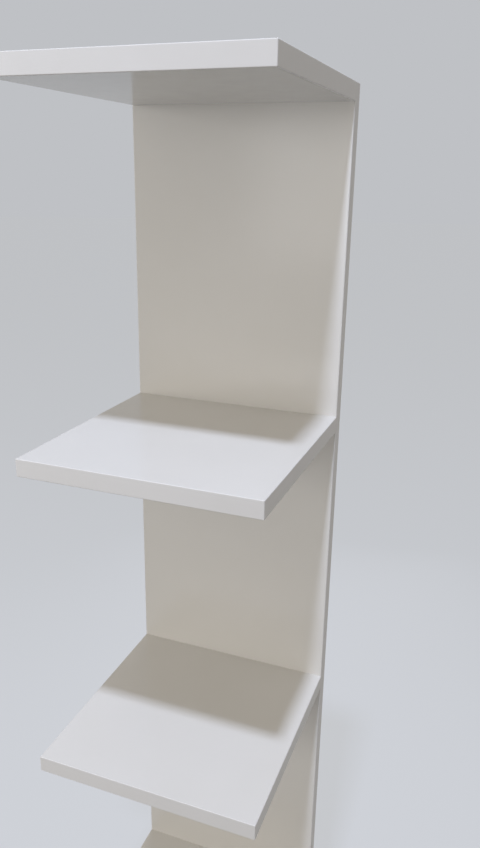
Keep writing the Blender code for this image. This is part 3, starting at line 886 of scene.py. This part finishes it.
# Galvanised steel: a cool grey metal in faint spangles, with fine rolled scratches along the plate.
galvanised, tree, shader = new_finish("stamped_galvanised_steel", metallic=1.0)
place = add_node(tree, "ShaderNodeTexCoord").outputs["Object"]
spangles = add_node(tree, "ShaderNodeTexVoronoi", {"Scale": 1 / SPANGLE}, {"Vector": place})
cell = add_node(tree, "ShaderNodeSeparateColor", links={"Color": spangles.outputs["Color"]})
grey = add_node(
    tree,
    "ShaderNodeMix",
    {MIX_FIRST: linear(GALVANISED), MIX_SECOND: linear(GALVANISED_DARK)},
    {"Factor": cell.outputs["Green"]},
    data_type="RGBA",
)
rolled = add_node(tree, "ShaderNodeMapping", {"Scale": (1, 1, ALONG_ROLLING_SHARE)}, {"Vector": place})
scratches = add_node(
    tree,
    "ShaderNodeTexNoise",
    {"Scale": 1 / ROLLED_SCRATCH, "Detail": 3},
    {"Vector": rolled.outputs["Vector"]},
)
gloss = add_node(
    tree, "ShaderNodeMapRange", {"To Min": 0.3, "To Max": 0.5}, {"Value": scratches.outputs["Fac"]}
)
relief = add_node(
    tree,
    "ShaderNodeBump",
    {"Strength": 0.3, "Distance": ROLLED_RELIEF},
    {"Height": scratches.outputs["Fac"]},
)
tree.links.new(grey.outputs[MIX_COLOUR], shader.inputs["Base Color"])
tree.links.new(gloss.outputs["Result"], shader.inputs["Roughness"])
tree.links.new(relief.outputs["Normal"], shader.inputs["Normal"])

for side in SIDES:
    node = f"hanger_plate_{side}"
    low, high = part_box(node)
    axis = (low + high) / 2
    thickness = high.y - low.y
    plate = add_slab(f"keyhole_plate_{side}", low, high)
    round_ends(plate, (high.x - low.x) / 2, PLATE_ROUND_STEPS)
    entry = add_turned("entry", [(ENTRY_RADIUS, HOLE_OVERRUN), (ENTRY_RADIUS, -2 * HOLE_OVERRUN)])
    set_at(entry, (axis.x, high.y, axis.z - KEYHOLE_RISE / 2), INTO_BACK)
    cut_out(plate, [entry])
    reach = Vector((SLOT_RADIUS, HOLE_OVERRUN, SLOT_RADIUS + KEYHOLE_RISE / 2))
    cut_out(plate, [round_ends(add_slab("slot", axis - reach, axis + reach), SLOT_RADIUS)])
    sink_profile = [
        (COUNTERSINK_RADIUS, HOLE_OVERRUN),
        (COUNTERSINK_RADIUS, 0),
        (PLATE_HOLE_RADIUS, PLATE_HOLE_RADIUS - COUNTERSINK_RADIUS),
        (PLATE_HOLE_RADIUS, -thickness - HOLE_OVERRUN),
    ]
    countersinks = []
    for end in (-1, 1):
        sink = add_turned("countersink", sink_profile)
        z = axis.z + end * PLATE_HOLE_SPACING / 2
        countersinks.append(set_at(sink, (axis.x, high.y, z), INTO_BACK))
    cut_out(plate, countersinks)
    only(plate)
    stamped = plate.modifiers.new("stamped_arris", "BEVEL")
    stamped.width = PLATE_ARRIS
    stamped.segments = PLATE_ARRIS_STEPS
    stamped.limit_method = "ANGLE"
    stamped.angle_limit = PLATE_ARRIS_ANGLE
    bpy.ops.object.modifier_apply(modifier=stamped.name)
    join_doubles(plate)
    smooth_arrises(plate)
    plate.data.materials.append(galvanised)
    fit_to_unit(plate, node)


# Each plate is held by two countersunk wood screws, 3.5 x 16 mm, of the same zinc plated steel, with a sawn
# slot and a finer rolled thread. They are driven until they are flush, so each slot ends at its own angle.

SMALL_SCREW_PROFILE = [
    (3.2 * MM, 0),
    (3.4 * MM, -0.12 * MM),
    (1.65 * MM, -1.85 * MM),
    (1.65 * MM, -4 * MM),
    (1.15 * MM, -4.6 * MM),
    (1.15 * MM, -13 * MM),
    (0.25 * MM, -16 * MM),
]
SMALL_THREAD_CREST = 1.7 * MM
SMALL_THREAD_ROOT = 1.05 * MM
SMALL_THREAD_PITCH = 1.3 * MM
SMALL_THREAD_BASE = 0.6 * MM
SMALL_THREAD_START = -5.2 * MM
SMALL_THREAD_TURNS = 6
SMALL_THREAD_STEPS = 16
SLOT_WIDTH = 0.9 * MM
SLOT_DEPTH = 0.9 * MM
SLOT_TURN = math.radians(52)

small_screw = add_turned("small_screw", SMALL_SCREW_PROFILE)
roll_thread(
    small_screw,
    SMALL_THREAD_ROOT,
    SMALL_THREAD_CREST,
    SMALL_THREAD_BASE,
    SMALL_THREAD_PITCH,
    SMALL_THREAD_START,
    SMALL_THREAD_TURNS,
    SMALL_THREAD_STEPS,
)
slot_reach = Vector((2 * COUNTERSINK_RADIUS, SLOT_WIDTH / 2, SLOT_DEPTH))
cut_out(small_screw, [add_slab("slot", -slot_reach, slot_reach)])
smooth_rounds(small_screw)
small_screw.data.materials.clear()
small_screw.data.materials.append(zinc)
spin = 0
for side in SIDES:
    for end in ("lower", "upper"):
        node = f"hanger_screw_{side}_{end}"
        spin += SLOT_TURN
        piece = drive_in(small_screw, f"plate_screw_{side}_{end}", node, spin)
        fit_to_unit(piece, node)
bpy.data.objects.remove(small_screw)


# The studio: a pale floor without edges and an even pale surround. A small lamp hangs high in front of the
# unit, softboxes stand in front of it and at its left and right, and a wide one with a grid stands low
# behind it for the views from there. Places and sizes are in metres.

FLOOR_RADIUS = 30
FLOOR_SIDES = 96
FLOOR_GREY = "#7c7d7f"
FLOOR_ROUGHNESS = 0.9
FLOOR_PALE = "#bdc0c5"
FLOOR_GLOW = 0.85
SURROUND_PALE = "#bfc1c5"
SURROUND_LIGHT = "#fff8ed"
SURROUND_STRENGTH = 0.45
GRID_SPREAD = math.radians(100)


def seen_by_view(tree):
    """One for what the view sees, straight or in and through the object, and none for light that falls."""
    rays = add_node(tree, "ShaderNodeLightPath").outputs
    kinds = {0: rays["Is Camera Ray"], 1: rays["Is Glossy Ray"]}
    direct = add_node(tree, "ShaderNodeMath", links=kinds, operation="MAXIMUM").outputs["Value"]
    kinds = {0: direct, 1: rays["Is Transmission Ray"]}
    return add_node(tree, "ShaderNodeMath", links=kinds, operation="MAXIMUM").outputs["Value"]


def add_softbox(name, place, aim, size, watts, hex_colour, spread=math.pi):
    """A square lamp that looks at a point. A grid on it narrows the angle that its light spreads over."""
    lamp = bpy.data.lights.new(name, "AREA")
    lamp.size = size
    lamp.spread = spread
    lamp.energy = watts
    lamp.color = linear(hex_colour)[:3]
    softbox = bpy.data.objects.new(name, lamp)
    softbox.location = place
    softbox.rotation_euler = (Vector(aim) - Vector(place)).to_track_quat("-Z", "Y").to_euler()
    bpy.context.scene.collection.objects.link(softbox)


bpy.ops.mesh.primitive_circle_add(vertices=FLOOR_SIDES, radius=FLOOR_RADIUS, fill_type="NGON")
floor = bpy.context.object
floor.name = "studio_floor"

# Matt paint: no gloss, and a grey that throws little light up at the shelves. A glow that only the view and
# reflections see lifts it to a pale grey, and the object's shadow stays on it.
floor_paint, tree, shader = new_finish("matt_pale_floor")
shader.inputs["Base Color"].default_value = linear(FLOOR_GREY)
shader.inputs["Roughness"].default_value = FLOOR_ROUGHNESS
shader.inputs["Specular IOR Level"].default_value = 0
shader.inputs["Emission Color"].default_value = linear(FLOOR_PALE)
glow = add_node(tree, "ShaderNodeMath", {1: FLOOR_GLOW}, {0: seen_by_view(tree)}, operation="MULTIPLY")
tree.links.new(glow.outputs["Value"], shader.inputs["Emission Strength"])
floor.data.materials.append(floor_paint)

world = bpy.data.worlds.new("pale_surround")
bpy.context.scene.world = world
world.use_nodes = True
tree = world.node_tree
tree.nodes.clear()
lighting = add_node(
    tree, "ShaderNodeBackground", {"Color": linear(SURROUND_LIGHT), "Strength": SURROUND_STRENGTH}
)
backdrop = add_node(tree, "ShaderNodeBackground", {"Color": linear(SURROUND_PALE), "Strength": 1})
surround = add_node(
    tree,
    "ShaderNodeMixShader",
    links={0: seen_by_view(tree), 1: lighting.outputs["Background"], 2: backdrop.outputs["Background"]},
)
add_node(tree, "ShaderNodeOutputWorld", links={"Surface": surround.outputs["Shader"]})

add_softbox(
    "lamp_above", place=(0.28, -1.27, 4.2), aim=(0, 0, 1.2), size=0.16, watts=85, hex_colour="#d9e5ff"
)
add_softbox(
    "softbox_front", place=(-0.6, -3.4, 1.7), aim=(0, 0, 1.3), size=1.2, watts=8, hex_colour="#ffffff"
)
add_softbox(
    "softbox_left", place=(-3.2, -2.3, 1.5), aim=(0, 0, 1.1), size=1.8, watts=53, hex_colour="#fffdfa"
)
add_softbox(
    "softbox_right", place=(3.4, -1.0, 1.8), aim=(0, 0, 1.1), size=1.6, watts=8, hex_colour="#ffffff"
)
add_softbox(
    "softbox_behind",
    place=(-0.45, 2.4, 0.9),
    aim=(0, 0, 0.85),
    size=1.45,
    watts=9.5,
    hex_colour="#f2f5ff",
    spread=GRID_SPREAD,
)


# The camera stands where the photograph was taken from, as the unit's corners in it give: in front and a
# little to the right, at a standing person's eye level, looking down and to the left. Its focal length is
# counted in pixels of a frame that is 848 pixels high.

LONG_SIDE_PIXELS = 848
FOCAL_PIXELS = 747.4
CAMERA_PLACE = (0.3655, -0.8143, 1.5899)
CAMERA_YAW = 0.3568
CAMERA_PITCH = -0.3191
CAMERA_ROLL = 0.0172
NEAREST_SEEN = 0.01

camera_lens = bpy.data.cameras.new("camera")
camera_lens.lens = FOCAL_PIXELS / LONG_SIDE_PIXELS * camera_lens.sensor_width
camera_lens.clip_start = NEAREST_SEEN
camera = bpy.data.objects.new("camera", camera_lens)
bpy.context.scene.collection.objects.link(camera)
bpy.context.scene.camera = camera
turn = Matrix.Rotation(CAMERA_YAW, 3, "Z") @ Matrix.Rotation(math.pi / 2 + CAMERA_PITCH, 3, "X")
camera.rotation_euler = (turn @ Matrix.Rotation(CAMERA_ROLL, 3, "Z")).to_euler()
camera.location = CAMERA_PLACE
bpy.context.scene.view_settings.view_transform = "Standard"
